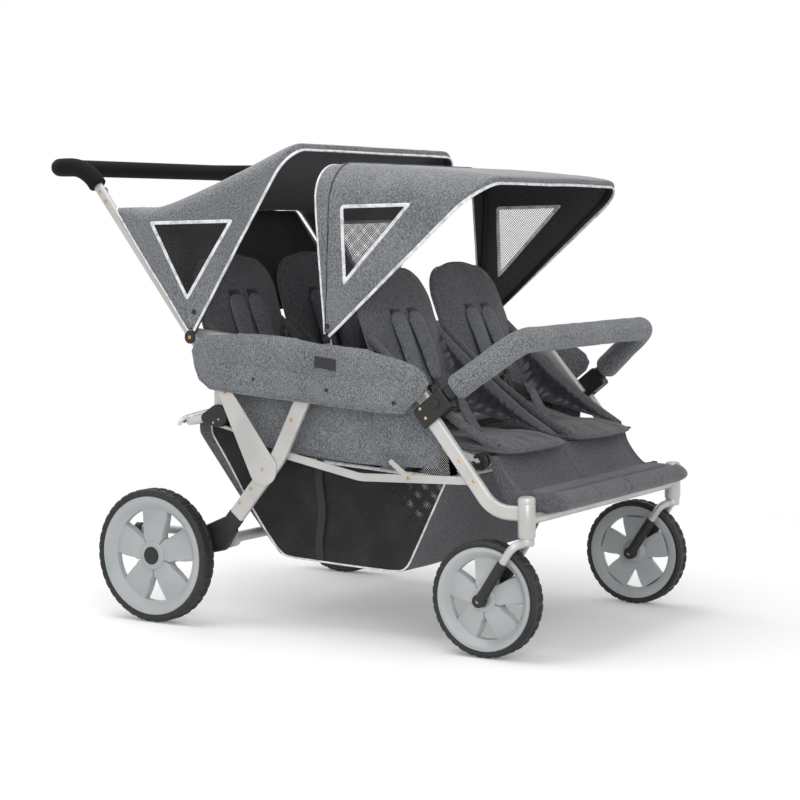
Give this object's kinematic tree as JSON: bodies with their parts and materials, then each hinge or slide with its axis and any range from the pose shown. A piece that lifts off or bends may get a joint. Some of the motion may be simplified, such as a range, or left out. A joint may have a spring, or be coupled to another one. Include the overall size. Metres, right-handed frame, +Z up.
{
  "type": "multi-seat stroller",
  "caption": "Folding stroller with seats in two rows side by side, two hoods with mesh windows, push handle, bumper bar, parcel basket, swivel front wheels.",
  "frame": {"origin": "centre of the bounding box on the floor, under the stroller", "axes": "+Z up, -Y to the front, +X to the stroller's left"},
  "size_m": [0.853, 1.3554, 1.0878],
  "materials": {
    "tyre": "matt black with a block tread",
    "wheel_plastic": "satin grey-blue moulded plastic",
    "grip_foam": "matt black closed-cell foam",
    "seat_cloth": "dark melange woven polyester, padded",
    "webbing": "black webbing with grey shoulder pads",
    "outer_cloth": "mid-grey melange woven polyester with white piping",
    "basket_mesh": "black polyester mesh with white piping",
    "black_plastic": "fine-grained black nylon",
    "frame_paint": "satin silver paint on aluminium tube"
  },
  "bodies": {
    "seat_frame": {"rail_left": "frame_paint", "front_bracket_left": "black_plastic", "front_cushion_left": "seat_cloth", "rear_cushion_left": "seat_cloth", "side_panel_left": "outer_cloth", "side_flap_left": "outer_cloth", "rail_right": "frame_paint", "front_bracket_right": "black_plastic", "front_cushion_right": "seat_cloth", "rear_cushion_right": "seat_cloth", "side_panel_right": "outer_cloth", "side_flap_right": "outer_cloth", "front_seat_frame": "frame_paint", "rear_seat_frame": "frame_paint", "basket": "basket_mesh", "footrest_apron": "outer_cloth"},
    "rear_frame": {"rear_leg_left": "frame_paint", "rear_leg_right": "frame_paint", "axle_arm_left": "black_plastic", "axle_arm_right": "black_plastic", "rear_axle_tube": "frame_paint"},
    "handle": {"handle_tube": "frame_paint", "handle_grip": "grip_foam"},
    "front_frame": {"front_leg_left": "frame_paint", "front_leg_right": "frame_paint", "front_cross_tube": "frame_paint"},
    "side_stays": {"side_stay_left": "frame_paint", "side_stay_right": "frame_paint"},
    "lock_plates": {"lock_plate_left": "frame_paint", "lock_plate_right": "frame_paint"},
    "front_canopy": {"front_canopy_cover": "outer_cloth", "front_canopy_rear_bow": "black_plastic"},
    "front_canopy_bow": {"front_canopy_front_bow": "black_plastic"},
    "rear_canopy": {"rear_canopy_cover": "outer_cloth"},
    "rear_canopy_bow": {"rear_canopy_bow": "black_plastic"},
    "bumper": {"bumper_bar": "black_plastic", "bumper_foam": "outer_cloth"},
    "brake": {"brake_lever": "frame_paint"},
    "fold_trigger": {"fold_lever": "black_plastic"},
    "basket_hoop": {"basket_hoop": "frame_paint"},
    "rear_wheel_left": {"rear_tyre_left": "tyre", "rear_rim_left": "wheel_plastic"},
    "front_wheel_left": {"front_tyre_left": "tyre", "front_rim_left": "wheel_plastic"},
    "caster_left": {"caster_fork_left": "frame_paint"},
    "bumper_button_left": {"bumper_button_left": "black_plastic"},
    "front_back_left": {"front_backrest_left": "seat_cloth", "front_harness_left": "webbing"},
    "rear_back_left": {"rear_backrest_left": "seat_cloth", "rear_harness_left": "webbing"},
    "rear_wheel_right": {"rear_tyre_right": "tyre", "rear_rim_right": "wheel_plastic"},
    "front_wheel_right": {"front_tyre_right": "tyre", "front_rim_right": "wheel_plastic"},
    "caster_right": {"caster_fork_right": "frame_paint"},
    "bumper_button_right": {"bumper_button_right": "black_plastic"},
    "front_back_right": {"front_backrest_right": "seat_cloth", "front_harness_right": "webbing"},
    "rear_back_right": {"rear_backrest_right": "seat_cloth", "rear_harness_right": "webbing"}
  },
  "joints": [
    {"name": "frame_fold", "type": "hinge", "parent": "seat_frame", "child": "rear_frame", "pos_m": [0, -0.10068, 0.62335], "axis": [1, 0, 0], "range_deg": [0, 40.6]},
    {"name": "handle_fold", "type": "hinge", "parent": "seat_frame", "child": "handle", "pos_m": [0, 0.24332, 0.66], "axis": [1, 0, 0], "range_deg": [0, 90.2]},
    {"name": "front_frame_fold", "type": "hinge", "parent": "seat_frame", "child": "front_frame", "pos_m": [0, -0.37168, 0.512], "axis": [1, 0, 0], "range_deg": [0, 52.48]},
    {"name": "side_stay_fold", "type": "hinge", "parent": "rear_frame", "child": "side_stays", "pos_m": [0, 0.00832, 0.4], "axis": [1, 0, 0], "range_deg": [-21.97, 0]},
    {"name": "lock_plate_fold", "type": "hinge", "parent": "rear_frame", "child": "lock_plates", "pos_m": [0, 0.05032, 0.366], "axis": [1, 0, 0], "range_deg": [-87.08, 0]},
    {"name": "front_canopy_fold", "type": "hinge", "parent": "seat_frame", "child": "front_canopy", "pos_m": [0, -0.10068, 0.65735], "axis": [1, 0, 0], "range_deg": [0, 25.2]},
    {"name": "rear_canopy_fold", "type": "hinge", "parent": "handle", "child": "rear_canopy", "pos_m": [0, 0.24332, 0.66], "axis": [1, 0, 0], "range_deg": [-64.2, 0]},
    {"name": "front_canopy_bow_fold", "type": "hinge", "parent": "front_canopy", "child": "front_canopy_bow", "pos_m": [0, -0.10068, 0.65735], "axis": [1, 0, 0], "range_deg": [-38, 0], "deforming": ["front_canopy_cover"]},
    {"name": "rear_canopy_bow_fold", "type": "hinge", "parent": "rear_canopy", "child": "rear_canopy_bow", "pos_m": [0, 0.24332, 0.66], "axis": [1, 0, 0], "range_deg": [-56, 0], "deforming": ["rear_canopy_cover"]},
    {"name": "rear_wheel_left_spin", "type": "hinge", "parent": "rear_frame", "child": "rear_wheel_left", "pos_m": [0.405, 0.33332, 0.154], "axis": [1, 0, 0], "continuous": true},
    {"name": "caster_left_swivel", "type": "hinge", "parent": "front_frame", "child": "caster_left", "pos_m": [0.374, -0.61168, 0.25], "axis": [0, 0, 1], "continuous": true},
    {"name": "front_wheel_left_spin", "type": "hinge", "parent": "caster_left", "child": "front_wheel_left", "pos_m": [0.374, -0.51868, 0.125], "axis": [1, 0, 0], "continuous": true},
    {"name": "bumper_button_left_press", "type": "slide", "parent": "seat_frame", "child": "bumper_button_left", "axis": [-1, 0, 0], "range_m": [0, 0.0025], "stiffness_N_per_m": 400},
    {"name": "front_backrest_left_recline", "type": "hinge", "parent": "seat_frame", "child": "front_back_left", "pos_m": [0.17, -0.26168, 0.47], "axis": [1, 0, 0], "range_deg": [-30, 0]},
    {"name": "rear_backrest_left_recline", "type": "hinge", "parent": "seat_frame", "child": "rear_back_left", "pos_m": [0.17, 0.18832, 0.478], "axis": [1, 0, 0], "range_deg": [-7, 0]},
    {"name": "rear_wheel_right_spin", "type": "hinge", "parent": "rear_frame", "child": "rear_wheel_right", "pos_m": [-0.405, 0.33332, 0.154], "axis": [1, 0, 0], "continuous": true},
    {"name": "caster_right_swivel", "type": "hinge", "parent": "front_frame", "child": "caster_right", "pos_m": [-0.374, -0.61168, 0.25], "axis": [0, 0, 1], "continuous": true},
    {"name": "front_wheel_right_spin", "type": "hinge", "parent": "caster_right", "child": "front_wheel_right", "pos_m": [-0.374, -0.51868, 0.125], "axis": [1, 0, 0], "continuous": true},
    {"name": "bumper_button_right_press", "type": "slide", "parent": "seat_frame", "child": "bumper_button_right", "axis": [1, 0, 0], "range_m": [0, 0.0025], "stiffness_N_per_m": 400},
    {"name": "front_backrest_right_recline", "type": "hinge", "parent": "seat_frame", "child": "front_back_right", "pos_m": [-0.17, -0.26168, 0.47], "axis": [1, 0, 0], "range_deg": [-30, 0]},
    {"name": "rear_backrest_right_recline", "type": "hinge", "parent": "seat_frame", "child": "rear_back_right", "pos_m": [-0.17, 0.18832, 0.478], "axis": [1, 0, 0], "range_deg": [-7, 0]},
    {"name": "bumper_slide", "type": "slide", "parent": "seat_frame", "child": "bumper", "axis": [0, -0.7782, 0.628], "range_m": [0, 0.06]},
    {"name": "brake_press", "type": "hinge", "parent": "rear_frame", "child": "brake", "pos_m": [-0.33, 0.17332, 0.195], "axis": [1, 0, 0], "range_deg": [-12, 0], "stiffness_Nm_per_rad": 1},
    {"name": "fold_trigger_squeeze", "type": "hinge", "parent": "handle", "child": "fold_trigger", "pos_m": [-0.361, 0.50869, 0.98999], "axis": [1, 0, 0], "range_deg": [0, 15], "stiffness_Nm_per_rad": 0.4},
    {"name": "basket_hoop_drop", "type": "hinge", "parent": "seat_frame", "child": "basket_hoop", "pos_m": [0, 0.18832, 0.478], "axis": [1, 0, 0], "range_deg": [-70, 0], "deforming": ["basket"]}
  ],
  "couplings": [
    {"joint": "handle_fold", "follows": "frame_fold", "ratio": 2.2167},
    {"joint": "front_frame_fold", "follows": "frame_fold", "ratio": 1.2877},
    {"joint": "side_stay_fold", "follows": "frame_fold", "ratio": -0.5361},
    {"joint": "lock_plate_fold", "follows": "frame_fold", "ratio": -2.1397},
    {"joint": "front_canopy_fold", "follows": "frame_fold", "ratio": 0.6158},
    {"joint": "rear_canopy_fold", "follows": "frame_fold", "ratio": -1.5764}
  ]
}
